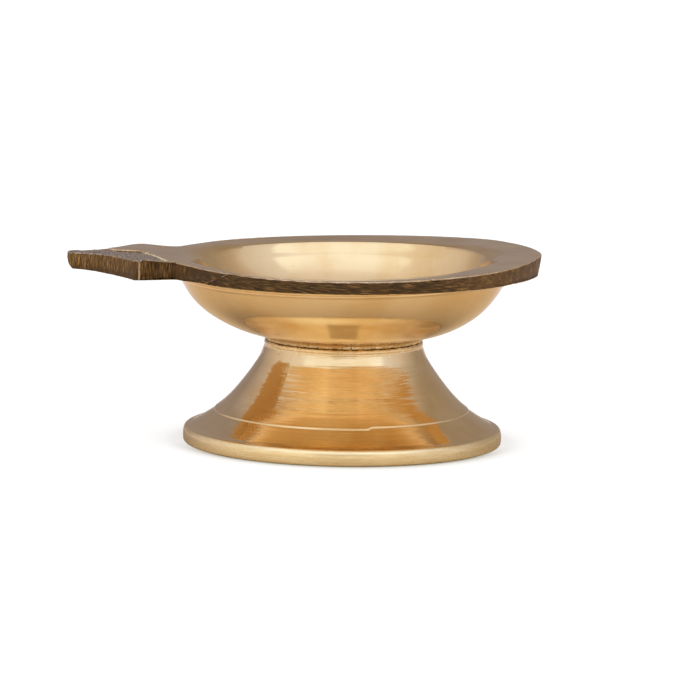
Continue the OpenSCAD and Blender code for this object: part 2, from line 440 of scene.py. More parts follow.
def end_limits(z):
    """The furthest X of the handle's tip and of the lip at a height, before the lean."""
    tip = np.interp(z, [48.2, 49.0, 49.75, 51.75], [-74.6, -75.35, -75.8, -HANDLE_X])
    lip = np.interp(z, [47.15, 52.5], [LIP_X - 1.5, LIP_X])
    return tip, lip


def basin_z(r):
    """Height of the basin's surface at a radius, with the slope of its crease further out."""
    edge_z = FLOOR_Z + FLOOR_R - math.sqrt(FLOOR_R**2 - FLOOR_EDGE**2)
    edge = np.array([FLOOR_EDGE, edge_z])
    crease = np.array([BASIN_R - CREASE_T, RIM_TOP_Z - CREASE_T])
    chord = crease - edge
    bend = math.atan2(chord[1], chord[0]) - math.asin(FLOOR_EDGE / FLOOR_R)
    side = arc(edge, crease, np.hypot(*chord) / (2 * math.sin(bend)), 1, 60)
    slope = 0.55
    r = np.asarray(r, float)
    floor = FLOOR_Z + FLOOR_R - np.sqrt(FLOOR_R**2 - np.minimum(r, 100) ** 2)
    wall = np.interp(r, side[:, 0], side[:, 1])
    beyond = crease[1] + (r - crease[0]) * slope
    return np.where(r < FLOOR_EDGE, floor, np.where(r < crease[0], wall, beyond))


def lean(points):
    """Tips the bowl about the Y axis at the seat, easing in up the belly."""
    p = np.array(points, float)
    dz = p[:, 2] - SEAT_Z
    angle = LEAN * smoothstep(2, 13, dz)
    x = p[:, 0] * np.cos(angle) - dz * np.sin(angle)
    z = SEAT_Z + p[:, 0] * np.sin(angle) + dz * np.cos(angle)
    return np.stack([x, p[:, 1], z], -1)


def unlean(points):
    p = np.array(points, float)
    dz = p[:, 2] - SEAT_Z
    x = p[:, 0] * math.cos(LEAN) + dz * math.sin(LEAN)
    z = SEAT_Z - p[:, 0] * math.sin(LEAN) + dz * math.cos(LEAN)
    return np.stack([x, p[:, 1], z], -1)


OUTLINE = whole_outline()
COLUMNS = len(OUTLINE)


def outline_facts():
    """Arc length, outward normals and the inner angle that each column starts from."""
    nxt, prv = np.roll(OUTLINE, -1, 0), np.roll(OUTLINE, 1, 0)
    tangent = nxt - prv
    tangent /= np.hypot(*tangent.T)[:, None]
    normal = np.stack([tangent[:, 1], -tangent[:, 0]], -1)
    length = np.concatenate([[0], np.cumsum(np.hypot(*np.diff(OUTLINE, axis=0).T))])
    half = COLUMNS // 2
    angle = np.arctan2(OUTLINE[: half + 1, 1], OUTLINE[: half + 1, 0])
    start = int(np.argmin(np.abs(angle - math.radians(139))))
    while angle[start] > math.radians(139.5):
        start -= 1
    share = (length[start : half + 1] - length[start]) / (length[half] - length[start])
    angle[start:] = angle[start] + (math.pi - angle[start]) * share
    for _ in range(40):
        angle[1:-1] = (angle[:-2] + angle[2:] + 2 * angle[1:-1]) / 4
    angle = np.concatenate([angle, TAU - angle[-2:0:-1]])
    return length, normal, angle


LENGTH, NORMAL, ANGLE = outline_facts()


def file_zone(x, depth):
    """0 where the file went up and down, 1 where it went along the rim, 2 where it crossed."""
    slant = x + 2.0 * (depth - 2)
    return smoothstep(-39.0, -37.2, slant) + smoothstep(26, 44, x)


STROKES = ((86, 4.0, 0.55, 0), (-5, 5.0, 0.42, 1), (-34, 3.4, 0.5, 2), (26, 3.4, 0.5, 2))


def file_marks(s, depth, x, seed):
    """Depth of the file's strokes from 0 to 1."""
    zone = file_zone(x, depth)
    total = 0
    for k, (degrees, long, wide, home) in enumerate(STROKES):
        a = math.radians(degrees)
        along, across = s * math.cos(a) - depth * math.sin(a), s * math.sin(a) + depth * math.cos(a)
        broad = noise(along / long, across / wide, seed=seed + k)
        fine = noise(along / long * 2.3, across / wide * 1.9, seed=seed + k + 9)
        share = np.clip(1 - np.abs(zone - home), 0, 1) * (0.75 if home == 2 else 1)
        total = total + (0.6 * broad + 0.4 * fine) * share
    return 0.5 + 0.5 * np.clip(total, -1, 1)


ARRIS_LINES = (((-46.0, 0.0), (-43.8, 2.9)), ((-31.0, 0.2), (-38.6, 4.6)))


def facet_step(x, y, depth):
    """The near side is filed in flats, and each flat ends a little proud of the next."""
    first, second = [x - (x0 + (depth - d0) * (x1 - x0) / (d1 - d0)) for (x0, d0), (x1, d1) in ARRIS_LINES]
    left = 0.22 * np.exp(-np.maximum(-first, 0) / 2.5) * (first < 0)
    right = 0.25 * np.exp(-np.maximum(second, 0) / 4.0) * (second > 0)
    return (left + right) * (y < 0)


FINE = np.stack([np.cos(ANGLE), np.sin(ANGLE)], -1)
COARSE = FINE[::2]
UNDER_START_R, TOP_START_R = 46.1, 46.2
FACE_ROWS = 15
CROWN = 0.10


def boss_rings():
    """From the stud's blind hole out over the seat and up the boss, which is nicked and pitted."""
    hole_r = STUD_R + 0.05
    rings = [pole(STUD_TOP_Z)]
    for r, z in ((hole_r * 0.55, STUD_TOP_Z), (hole_r, STUD_TOP_Z), (hole_r, (STUD_TOP_Z + SEAT_Z) / 2),
                 (hole_r, SEAT_Z + 0.35), (hole_r + 0.3, SEAT_Z)):
        rings.append(ring(COARSE, r, z))
    rings += [ring(COARSE, r, SEAT_Z) for r in (6, 10, 14, 17.5, 20.0)]
    c, s = COARSE.T
    for out, up in ((-0.4, 0), (-0.2, 0.03), (-0.05, 0.11), (0, 0.24), (0.03, 0.5), (0.1, 0.75), (0.26, 1.0),
                    (0.5, 1.18), (0.85, 1.33)):
        z = SEAT_Z + up
        pits = np.clip(noise(c * 22, s * 22, z * 1.6, seed=21) - 0.4, 0, 1)
        rough = 0.05 * noise(c * 40, s * 40, z * 0.7, seed=22) - 0.5 * pits
        nicks = -0.16 * np.abs(fractal(c * 12, s * 12, seed=23)) * (up < 0.4)
        rings.append(ring(COARSE, BOSS_R + out + (rough + nicks) * (up > 0.01), z))
    return rings


def belly_rings():
    """Up the belly to the turned band under the rim: a step, a fine line and a cove."""
    middle = [37.3, 36.05]
    low = arc([BOSS_R + 1.35, SEAT_Z + 1.46], middle, 34, 1, 120)
    high = arc(middle, [45.0, 45.8], 23.7, 1, 120)[1:]
    shell = np.concatenate([low, high])
    c, s = COARSE.T
    rings = []
    for r, z in resample(shell, np.full(len(shell), 0.62)):
        dr = 0.012 * noise(c * 2.5, s * 2.5, z * 0.5, seed=24) + 0.005 * noise(c * 6, s * 6, z * 1.6, seed=25)
        near = 1 - smoothstep(SEAT_Z + 1.2, SEAT_Z + 3.4, z)
        rings.append(ring(COARSE, r + dr + near * 0.04 * noise(c * 18, s * 18, z * 1.2, seed=26), z))
    rings.append(ring(COARSE, 45.1, 45.86))
    for r, z in ((45.45, 45.92), (45.56, 46.1), (45.6, 46.4), (45.52, 46.5), (45.58, 46.6), (45.68, 46.9),
                 (45.84, 47.2)):
        rings.append(ring(FINE, r + 0.02 * noise(FINE[:, 0] * 4, FINE[:, 1] * 4, z, seed=27), z))
    return rings


def edge_ring(inset, z):
    """The outline, moved in by inset, at height z."""
    return np.column_stack([OUTLINE - NORMAL * inset[:, None], z])


def rim_rings():
    """The plate's underside, its filed edge between two worn arrises, and its top."""
    x, y = OUTLINE.T
    low, high = low_z(x), top_z(x)
    start = FINE * UNDER_START_R
    rings = [np.column_stack([start, low_z(start[:, 0]) - 0.03])]
    for t in (0.12, 0.28, 0.45, 0.62, 0.78, 0.9):
        p = start + (OUTLINE - NORMAL * 0.45 - start) * t
        z = low_z(p[:, 0]) + 0.03 * noise(p[:, 0] * 0.5, p[:, 1] * 0.5, seed=28) * (t > 0.2)
        rings.append(np.column_stack([p, z]))
    wear = 0.5 + 0.5 * fractal(LENGTH / 9, seed=31)
    worn = 0.22 + 0.16 * wear + 0.45 * np.clip(noise(LENGTH / 1.6, seed=32) - 0.45, 0, 1)
    low_wear = 0.5 + 0.5 * fractal(LENGTH / 5, seed=33)
    low_worn = 0.25 + 0.2 * low_wear + 0.5 * np.clip(noise(LENGTH / 1.3, seed=34) - 0.4, 0, 1)
    for t in (1.0, 0.45, 0.1):
        rings.append(edge_ring(low_worn * t, low + low_worn * (1 - t) ** 1.5))
    for t in np.arange(FACE_ROWS + 1) / FACE_ROWS:
        z = (low + low_worn) + (high - worn - low - low_worn) * t
        fade = smoothstep(0, 0.08, t) * smoothstep(1, 0.95, t)
        depth = 0.16 * (1 - file_marks(LENGTH, high - z, x, 35)) * fade
        depth = depth + facet_step(x, y, high - z)
        rings.append(edge_ring(depth + CROWN * (2 * t - 1) ** 2, z))
    for t in (0.35, 0.75, 1.0):
        rings.append(edge_ring(CROWN + worn * t**1.3, high - worn * (1 - t) ** 1.6))
    start = FINE * TOP_START_R
    across = OUTLINE - NORMAL * (CROWN + worn)[:, None] - start
    for t in (0.97, 0.92, 0.85, 0.76, 0.66, 0.56, 0.46, 0.36, 0.26, 0.17, 0.08):
        p = start + across * t
        rings.append(np.column_stack([p, plate_z(p[:, 0], p[:, 1])]))
    return rings


def inner_ring(r, dirs):
    """The plate and the basin, blended softly at the crease between them."""
    xy = dirs * r
    soft = 0.22
    plate, basin = plate_z(xy[:, 0], xy[:, 1]), basin_z(r)
    z = -soft * np.log(np.exp(-(plate - 50) / soft) + np.exp(-(basin - 50) / soft)) + 50
    return np.column_stack([xy, z + 0.012 * noise(xy[:, 0] * 0.12, xy[:, 1] * 0.12, seed=37) * (r < 42)])


def make_bowl():
    rings = boss_rings() + belly_rings() + rim_rings()
    for r in (46.2, 45.6, 45.0, 44.5, 44.1, 43.7, 43.3, 42.9, 42.5, 42.1, 41.7, 41.3):
        rings.append(inner_ring(r, FINE))
    for r in np.concatenate([np.linspace(40.9, 36, 9), np.linspace(35.2, 24, 16), np.linspace(23, 3, 14)]):
        rings.append(inner_ring(r, COARSE))
    rings.append(pole(FLOOR_Z))
    # Keep the ends inside their slanted faces, then lean it all
    done = []
    for points in rings:
        points = np.array(points, float)
        points[:, 0] = np.clip(points[:, 0], *end_limits(points[:, 2]))
        done.append(lean(points))
    return make_object("lamp_bowl", done, "bowl", ["bowl"], closed=False)


def hollow_line(gap):
    """The hollow's step in plan, with its corners rounded, in steps of this length."""
    line = fillet(HOLLOW[1:8], [0, 3, 3, 3, 3, 3, 0])
    return resample(line, np.full(len(line), gap))


def hollow_slab():
    """A slab over the handle, whose underside is the hollow's stippled floor."""
    step = 0.34
    x, y = np.meshgrid(np.arange(-80, -47.4, step), np.arange(-24, 10.2, step))
    grain = 0.085 * fractal(x / 0.75, y / 0.75, seed=42, octaves=2) + 0.05 * noise(x / 2.4, y / 2.4, seed=43)
    rise = 0.38 * smoothstep(0, 12, 3.0 - y - 1.0 * np.maximum(x + 57, 0)) * smoothstep(-49, -54, x)
    z = HANDLE_TOP_Z - 0.5 + grain * 1.25 + np.maximum(rise, 0.36 * smoothstep(-62, -66, x))
    lower = np.stack([x, y, z], -1).reshape(-1, 3)
    upper = lower.copy()
    upper[:, 2] = HANDLE_TOP_Z + 4
    n = len(lower)
    index = np.arange(n).reshape(x.shape)
    quads = np.stack([index[:-1, :-1], index[1:, :-1], index[1:, 1:], index[:-1, 1:]], -1)
    faces = quads.reshape(-1, 4).tolist()
    border = np.concatenate([index[0], index[1:, -1], index[-1, -2::-1], index[-2:0:-1, 0]]).tolist()
    m = len(border)
    faces.append(range(n, n + m))
    for k in range(m):
        faces.append((border[k], border[(k + 1) % m], n + (k + 1) % m, n + k))
    return link_mesh("slab", lean(np.concatenate([lower, upper[border]])), faces)


def hollow_prism():
    """The plan of the hollow with a ragged step. The wall slants back, so it widens upwards."""
    line = hollow_line(0.35)
    ragged = 0.16 * fractal(np.arange(len(line)) * 0.35, seed=41)
    line = line + np.stack([ragged, -ragged], -1)
    plan = np.concatenate([[[-48.2, -24]], line, [[-80, -24]]])
    tangent = np.gradient(line, axis=0)
    tangent /= np.hypot(*tangent.T)[:, None]
    spread = np.zeros_like(plan)
    spread[1:-1] = np.stack([tangent[:, 1], -tangent[:, 0]], -1)
    low, high = HANDLE_TOP_Z - 0.62, HANDLE_TOP_Z + 3
    k = len(plan)
    points = np.concatenate([np.column_stack([plan, np.full(k, low)]),
                             np.column_stack([plan + spread * (high - low) * 0.9, np.full(k, high)])])
    faces = [tuple(range(k))[::-1], tuple(range(k, 2 * k))]
    faces += [(i, (i + 1) % k, k + (i + 1) % k, k + i) for i in range(k)]
    return link_mesh("prism", lean(points), faces)


def cut_hollow(obj):
    """Cuts the rough hollow into the handle's top."""
    slab, prism = hollow_slab(), hollow_prism()
    finish_mesh(slab)
    finish_mesh(prism)
    boolean(slab, prism, "INTERSECT")
    boolean(obj, slab, "DIFFERENCE")
    for tool in (slab, prism):
        bpy.data.objects.remove(tool)


def boolean(obj, other, operation):
    modifier = obj.modifiers.new("cut", "BOOLEAN")
    modifier.object = other
    modifier.operation = operation
    modifier.solver = "MANIFOLD"
    graph = bpy.context.evaluated_depsgraph_get()
    mesh = bpy.data.meshes.new_from_object(obj.evaluated_get(graph))
    obj.modifiers.clear()
    obj.data = mesh


# ---- Fastening ----

THREAD_PITCH, THREAD_T = 1.0, 0.54


def make_stud():
    columns, flat_r = 64, 1.4
    dirs = circle(columns)
    turn = np.arange(columns) * TAU / columns / TAU
    rings = [pole(STUD_LOW_Z), ring(dirs, flat_r, STUD_LOW_Z)]
    heights = np.arange(STUD_LOW_Z, STUD_TOP_Z + 0.01, 0.11)
    for z in np.append(heights[heights < STUD_TOP_Z - 0.05], STUD_TOP_Z):
        phase = (z / THREAD_PITCH - turn) % 1
        tooth = np.clip(1.16 - np.abs(phase - 0.5) * 2.5, 0, 1)
        tooth = tooth * tooth * (3 - 2 * tooth) * 0.35 + tooth * 0.65
        end = min(z - STUD_LOW_Z, STUD_TOP_Z - z)
        rings.append(ring(dirs, np.minimum(STUD_R - THREAD_T * (1 - tooth), STUD_R - 0.75 + end * 1.1), z))
    rings += [ring(dirs, flat_r, STUD_TOP_Z), pole(STUD_TOP_Z)]
    obj = make_object("stud_threads", rings, "stud", ["stud"], closed=False)
    finish_mesh(obj, 60)
    return obj


def make_nut():
    columns = 192
    dirs = circle(columns)
    # Corners point along X, so the flats' middles lie at 30, 90 and 150 degrees
    off = np.abs((np.arange(columns) * TAU / columns) % (math.pi / 3) - math.pi / 6)
    hexagon = np.minimum(NUT_FLAT_R / np.cos(off), NUT_FLAT_R / math.cos(math.pi / 6) - 0.12)
    bore, lead = STUD_R + 0.06, 0.4
    slope = math.tan(math.radians(30))

    def chamfer(r):
        return np.maximum(0, r - NUT_FLAT_R * 0.965) * slope

    def across(t):
        return (bore + lead) * (1 - t) + hexagon * t

    shares = (0.0, 0.35, 0.7, 0.93, 1.0)
    rings = [ring(dirs, across(t), NUT_TOP_Z - chamfer(across(t))) for t in shares]
    top, bottom = NUT_TOP_Z - chamfer(hexagon), NUT_LOW_Z + chamfer(hexagon)
    rings += [ring(dirs, hexagon, top + (bottom - top) * t) for t in (0.06, 0.25, 0.5, 0.75, 0.94)]
    rings += [ring(dirs, across(t), NUT_LOW_Z + chamfer(across(t))) for t in shares[::-1]]
    rings += [ring(dirs, bore, z) for z in (NUT_LOW_Z + lead, (NUT_LOW_Z + NUT_TOP_Z) / 2, NUT_TOP_Z - lead)]
    obj = make_object("nut_hex", rings, "foot", ["nut"])
    finish_mesh(obj, 24)
    return obj


def make_washer():
    dirs = circle(160)
    c, s = dirs.T
    low, high = washer_low[2], washer_high[2]
    bore = STUD_R + 0.3
    section = [(bore + 0.12, high), (WASHER_R * 0.6, high), (WASHER_R - 0.3, high),
               (WASHER_R - 0.08, high - 0.06), (WASHER_R, high - 0.25), (WASHER_R, low + 0.45),
               (WASHER_R - 0.07, low + 0.2), (WASHER_R - 0.22, low + 0.06), (WASHER_R - 0.45, low),
               (WASHER_R * 0.7, low), (bore + 0.35, low), (bore + 0.12, low + 0.1), (bore, low + 0.3),
               (bore, high - 0.12)]
    rings = []
    for r, z in section:
        uneven = 0.012 * noise(c * 7, s * 7, z * 3, seed=51) * (r <= WASHER_R - 0.01)
        rings.append(ring(dirs, r + uneven, z))
    obj = make_object("washer_plate", rings, "foot", ["washer"])
    finish_mesh(obj, 30)
    return obj


foot = make_foot()
bowl = make_bowl()
cut_hollow(bowl)
finish_mesh(bowl, 38)
stud = make_stud()
nut = make_nut()
washer = make_washer()

# ---- Masks on the bowl, from where each point lies ----


HOLLOW_LINE = hollow_line(0.3)


def in_hollow(p):
    """True where a point lies in the plan of the hollow."""
    inside = np.zeros(len(p), bool)
    n = len(HOLLOW)
    for k in range(n):
        (x0, y0), (x1, y1) = HOLLOW[k], HOLLOW[(k + 1) % n]
        cross = (y0 > p[:, 1]) != (y1 > p[:, 1])
        at = x0 + (p[:, 1] - y0) * (x1 - x0) / np.where(y1 == y0, 1, y1 - y0)
        inside ^= cross & (p[:, 0] < at)
    return inside


def bowl_masks(obj):
    """edge: length along the outline, depth under the top face and the file's zone.
    arris: how far an arris is rubbed bright. step: distance to the hollow's step."""
    far = 9.0
    p = unlean(mesh_points(obj))
    n = len(p)
    along_rim, gap = np.zeros(n), np.full(n, far)
    index = np.nonzero(np.hypot(p[:, 0], p[:, 1]) > 44)[0]
    for block in np.array_split(index, max(1, len(index) // 4000)):
        d = p[block, None, :2] - OUTLINE[None]
        near = np.einsum("ijk,ijk->ij", d, d).argmin(1)
        tangent = np.stack([-NORMAL[near][:, 1], NORMAL[near][:, 0]], -1)
        offset = p[block, :2] - OUTLINE[near]
        along_rim[block] = LENGTH[near] + np.einsum("ij,ij->i", offset, tangent)
        gap[block] = -np.einsum("ij,ij->i", offset, NORMAL[near])
    x, y = p[:, 0], p[:, 1]
    depth = top_z(x) - p[:, 2]
    store(obj, "edge", np.stack([along_rim, depth, file_zone(x, depth)], -1), "FLOAT_VECTOR")
    bright = np.exp(-((np.hypot(x + ARRIS_X, y + ARRIS_W) / 0.34) ** 2))
    for (x0, d0), (x1, d1) in ARRIS_LINES:
        length = math.hypot(x1 - x0, d1 - d0)
        off = ((x - x0) * (d1 - d0) - (depth - d0) * (x1 - x0)) / length
        along = ((x - x0) * (x1 - x0) + (depth - d0) * (d1 - d0)) / length
        ends = smoothstep(-0.5, 0.2, along) * smoothstep(length + 0.6, length - 0.4, along)
        on = np.exp(-((off / 0.2) ** 2)) * ends
        bright = np.maximum(bright, 0.55 * on * (y < 0) * (gap < 1.5))
    store(obj, "arris", bright)
    step = np.full(n, far)
    near = (x < -44) & (depth < 2.5) & (np.abs(y) < 24)
    d = p[near, None, :2] - HOLLOW_LINE[None]
    step[near] = np.sqrt(np.einsum("ijk,ijk->ij", d, d).min(1))
    store(obj, "step", step)


# ---- Materials ----


class Nodes:
    """Short calls for the nodes of a material or of the world."""

    def __init__(self, owner):
        owner.use_nodes = True
        self.owner = owner
        self.tree = owner.node_tree

    def put(self, socket, value):
        if isinstance(value, bpy.types.NodeSocket):
            self.tree.links.new(value, socket)
        elif value is not None:
            socket.default_value = value

    def add(self, kind, inputs=(), **settings):
        node = self.tree.nodes.new(kind)
        for key, value in settings.items():
            setattr(node, key, value)
        for key, value in dict(inputs).items():
            self.put(node.inputs[key], value)
        return node

    def math(self, operation, a, b=None, c=None, clamp=False):
        node = self.add("ShaderNodeMath", operation=operation, use_clamp=clamp)
        for socket, value in zip(node.inputs, (a, b, c)):
            self.put(socket, value)
        return node.outputs[0]

    def times(self, a, b):
        return self.math("MULTIPLY", a, b)

    def plus(self, a, b):
        return self.math("ADD", a, b)

    def less(self, a, b):
        return self.math("SUBTRACT", a, b)

    def most(self, a, b):
        return self.math("MAXIMUM", a, b)

    def ease(self, value, low, high, to_low=0.0, to_high=1.0):
        node = self.add("ShaderNodeMapRange", interpolation_type="SMOOTHSTEP")
        names = ("Value", "From Min", "From Max", "To Min", "To Max")
        for key, v in zip(names, (value, low, high, to_low, to_high)):
            self.put(node.inputs[key], v)
        return node.outputs[0]

    def mix(self, share, a, b, blend="MIX"):
        node = self.add("ShaderNodeMix", data_type="RGBA", blend_type=blend)
        for socket, value in ((node.inputs[0], share), (node.inputs[6], a), (node.inputs[7], b)):
            self.put(socket, value)
        return node.outputs[2]

    def noise(self, vector, scale, detail=2.0, rough=0.5, distort=0.0, dims="3D", w=None):
        node = self.add("ShaderNodeTexNoise", noise_dimensions=dims)
        self.put(node.inputs["Vector"], vector)
        for key, v in (("Scale", scale), ("Detail", detail), ("Roughness", rough), ("Distortion", distort)):
            self.put(node.inputs[key], v)
        if w is not None:
            self.put(node.inputs["W"], w)
        return node.outputs["Fac"]

    def join(self, x, y, z):
        node = self.add("ShaderNodeCombineXYZ")
        for socket, value in zip(node.inputs, (x, y, z)):
            self.put(socket, value)
        return node.outputs[0]

    def split(self, vector):
        return self.add("ShaderNodeSeparateXYZ", {0: vector}).outputs

    def stored(self, name, output):
        """A mask stored on the mesh."""
        return self.add("ShaderNodeAttribute", attribute_name=name, attribute_type="GEOMETRY").outputs[output]

    def shift(self, share, a, b):
        """One shader turning into another."""
        return self.add("ShaderNodeMixShader", {0: share, 1: a, 2: b}).outputs[0]

    def place(self):
        """Position on the object in millimetres: vector, x, y, z, radius, cosine, sine."""
        at = self.add("ShaderNodeTexCoord").outputs["Object"]
        mm = self.add("ShaderNodeVectorMath", {0: at, "Scale": 1 / MM}, operation="SCALE")
        x, y, z = self.split(mm.outputs[0])
        r = self.math("SQRT", self.plus(self.times(x, x), self.times(y, y)))
        safe = self.most(r, 0.01)
        return mm.outputs[0], x, y, z, r, self.math("DIVIDE", x, safe), self.math("DIVIDE", y, safe)

    def lathe(self, at, fine, around, detail=2.0):
        """Streaks that run round the axis: quick across the section, slow around."""
        _, _, _, z, r, c, s = at
        vector = self.join(self.times(r, fine), self.times(z, fine), self.times(c, around))
        return self.noise(vector, 1.0, detail, 0.6, dims="4D", w=self.times(s, around))

    def bump(self, height, distance, strength=1.0, normal=None):
        node = self.add("ShaderNodeBump")
        for key, v in (("Height", height), ("Distance", distance * MM), ("Strength", strength)):
            self.put(node.inputs[key], v)
        if normal is not None:
            self.put(node.inputs["Normal"], normal)
        return node.outputs[0]

    def surface(self, **inputs):
        """Sets the material's main shader."""
        shader = self.tree.nodes["Principled BSDF"]
        for key, value in inputs.items():
            self.put(shader.inputs[key.replace("_", " ")], value)
        return self.owner


def new_material(name):
    return Nodes(bpy.data.materials.new(name))


BRASS = (0.88, 0.68, 0.40, 1)
BRASS_DEEP = (0.80, 0.57, 0.29, 1)
BRASS_PALE = (0.92, 0.75, 0.50, 1)
BROWN = (0.030, 0.016, 0.005, 1)
BROWN_WARM = (0.115, 0.062, 0.022, 1)
FILED_GOLD = (0.44, 0.265, 0.090, 1)
RUBBED = (0.56, 0.40, 0.25, 1)
POLISHED = 0.045  # the roughness of clean, polished brass


def turned_brass(name, line_bump, seam_up, seam_down):
    """Polished brass with lathe lines, a little tarnish, and grime, painted shade and pits at the seam."""
    n = new_material(name)
    at = n.place()
    vector, z, r = at[0], at[3], at[4]
    streaks = n.lathe(at, 1.9, 1.6, 3.0)
    hairs = n.lathe(at, 7.0, 3.0, 2.0)
    clouds = n.noise(vector, 0.07, 3.0, 0.55)
    spots = n.noise(vector, 0.9, 2.0, 0.5)
    colour = n.mix(n.ease(clouds, 0.35, 0.7), BRASS, BRASS_DEEP)
    colour = n.mix(n.times(n.ease(streaks, 0.55, 0.8), 0.35), colour, BRASS_PALE)
    colour = n.mix(n.times(n.ease(spots, 0.68, 0.78), 0.25), colour, (0.45, 0.28, 0.12, 1))
    # Grime in and beside the seam, and painted shade darkening its crevice
    ragged = n.times(n.less(n.noise(vector, 1.1, 3.0), 0.5), 1.1)
    height = n.plus(n.less(z, SEAT_Z), ragged)
    seam_grime_and_shade = n.times(n.ease(height, -seam_down, -seam_down * 0.3), n.ease(height, seam_up, seam_up * 0.3))
    outside = n.ease(r, 20.5, 21.2)
    seam_grime_and_shade = n.times(n.times(seam_grime_and_shade, outside), n.ease(n.noise(vector, 0.7, 4.0, 0.7), 0.35, 0.6))
    # The seam's dark colour is grime plus painted shade of the crevice between the castings
    colour = n.mix(n.times(seam_grime_and_shade, 0.92), colour, BROWN)
    roughness = n.plus(POLISHED, n.times(n.ease(streaks, 0.4, 0.75), 0.07))
    roughness = n.plus(roughness, n.times(n.ease(clouds, 0.4, 0.7), 0.04))
    roughness = n.plus(roughness, n.times(seam_grime_and_shade, 0.4))
    metal = n.less(1.0, n.times(seam_grime_and_shade, 0.5))
    chatter = n.lathe(at, 0.9, 1.1, 1.0)
    normal = n.bump(chatter, 0.05 * line_bump, n.ease(z, 26.0, 23.5, 0.15, 1.0))
    normal = n.bump(streaks, 0.025 * line_bump, normal=normal)
    normal = n.bump(hairs, 0.006 * line_bump, normal=normal)
    normal = n.bump(n.noise(vector, 3.0, 2.0), 0.06, seam_grime_and_shade, normal)
    return n, at, colour, roughness, metal, normal


def foot_material():
    n, at, colour, roughness, metal, normal = turned_brass("foot_turned_brass", 1.0, 0.25, 0.3)
    z, r, c, s = at[3:]
    band = n.ease(r, BAND_R - 0.9, BAND_R - 0.5)
    brushed = n.noise(n.join(n.times(c, 9.0), n.times(s, 9.0), n.times(z, 2.5)), 1.0, 3.0, 0.65)
    brushed = n.mix(n.ease(brushed, 0.35, 0.65), (0.94, 0.73, 0.41, 1), (1.0, 0.84, 0.52, 1))
    colour = n.mix(band, colour, brushed)
    roughness = n.plus(roughness, n.times(band, 0.2))
    return n.surface(Base_Color=colour, Roughness=roughness, Metallic=metal, Normal=normal)


def cast_material(name, dark, light):
    """As cast, never machined: grainy and dull."""
    n = new_material(name)
    vector = n.place()[0]
    grain = n.noise(vector, 1.6, 4.0, 0.65)
    coarse = n.noise(vector, 0.35, 3.0, 0.6)
    colour = n.mix(n.ease(grain, 0.35, 0.68), dark, light)
    colour = n.mix(n.times(n.ease(coarse, 0.5, 0.75), 0.5), colour, dark)
    roughness = n.ease(grain, 0.2, 0.8, 0.62, 0.42)
    metal = n.ease(grain, 0.3, 0.7, 0.65, 0.95)
    return n.surface(Base_Color=colour, Roughness=roughness, Metallic=metal, Normal=n.bump(grain, 0.14))


def filed_material():
    """The rim's sawn and filed edge: dark, with bright strokes and a burnished arris."""
    n = new_material("bowl_filed_edge")
    vector, x = n.place()[:2]
    along, depth, zone = n.split(n.stored("edge", "Vector"))
    light = 0.0
    for k, (degrees, long, wide, home) in enumerate(STROKES):
        a = math.radians(degrees)
        u = n.less(n.times(along, math.cos(a)), n.times(depth, math.sin(a)))
        v = n.plus(n.times(along, math.sin(a)), n.times(depth, math.cos(a)))
        vector_uv = n.join(n.times(u, 1.3 / long), n.times(v, 2.3 / wide), k * 5.0)
        marks = n.noise(vector_uv, 1.0, 3.0, 0.62, 0.35)
        share = n.math("SUBTRACT", 1.0, n.math("ABSOLUTE", n.less(zone, home)), clamp=True)
        if home == 2:
            share = n.times(share, 0.5)
        light = n.plus(light, n.times(marks, share))
    patches = n.noise(vector, 0.2, 2.0, 0.5)
    ends = n.most(n.ease(x, -40.0, -46.0), n.ease(x, 20.0, 40.0))
    tone = n.plus(light, n.times(n.less(ends, 0.5), 0.07))
    tone = n.less(tone, n.times(n.ease(depth, 3.2, 4.6), 0.05))
    colour = n.mix(n.ease(tone, 0.38, 0.52), BROWN, BROWN_WARM)
    gold = n.times(n.ease(tone, 0.50, 0.66), n.ease(patches, 0.3, 0.62, 0.35, 1.0))
    colour = n.mix(gold, colour, FILED_GOLD)
    # The arris along the top, rubbed bright in places, with a dark line under it
    wander = n.times(n.less(n.noise(vector, 0.5, 3.0), 0.5), 0.5)
    at_depth = n.plus(depth, wander)
    rubbed = n.ease(at_depth, 0.40, 0.22)
    arris = n.plus(n.stored("arris", "Fac"), n.times(wander, 0.6))
    rubbed = n.most(rubbed, n.ease(arris, 0.3, 0.6))
    colour = n.mix(n.times(rubbed, 0.9), colour, RUBBED)
    normal = n.bump(light, 0.18)
    roughness = n.less(0.52, n.times(rubbed, 0.3))
    metal = n.ease(light, 0.4, 0.6, 0.55, 0.95)
    return n.surface(Base_Color=colour, Roughness=roughness, Metallic=metal, Normal=normal)


def bowl_material():
    """As the foot, but the boss above the seam is scratched up and down, pitted and duller."""
    n, at, colour, roughness, metal, normal = turned_brass("bowl_turned_brass", 0.5, 0.28, 0.25)
    vector, x, y, z, r, c, s = at
    boss = n.times(n.ease(z, SEAT_Z + 2.0, SEAT_Z + 1.2), n.ease(r, 20.5, 21.2))
    upright = n.join(n.times(c, 60.0), n.times(s, 60.0), n.times(z, 0.5))
    scratches = n.noise(upright, 1.0, 3.0, 0.6)
    pits = n.ease(n.noise(vector, 1.5, 2.0, 0.5), 0.62, 0.70)
    colour = n.mix(n.times(n.times(pits, boss), 0.85), colour, BROWN)
    scratched = n.times(n.ease(scratches, 0.5, 0.68), n.times(boss, 0.3))
    colour = n.mix(scratched, colour, (0.50, 0.30, 0.12, 1))
    roughness = n.plus(roughness, n.times(boss, 0.2))
    normal = n.bump(scratches, 0.03, boss, normal)
    return n.surface(Base_Color=colour, Roughness=roughness, Metallic=metal, Normal=normal)


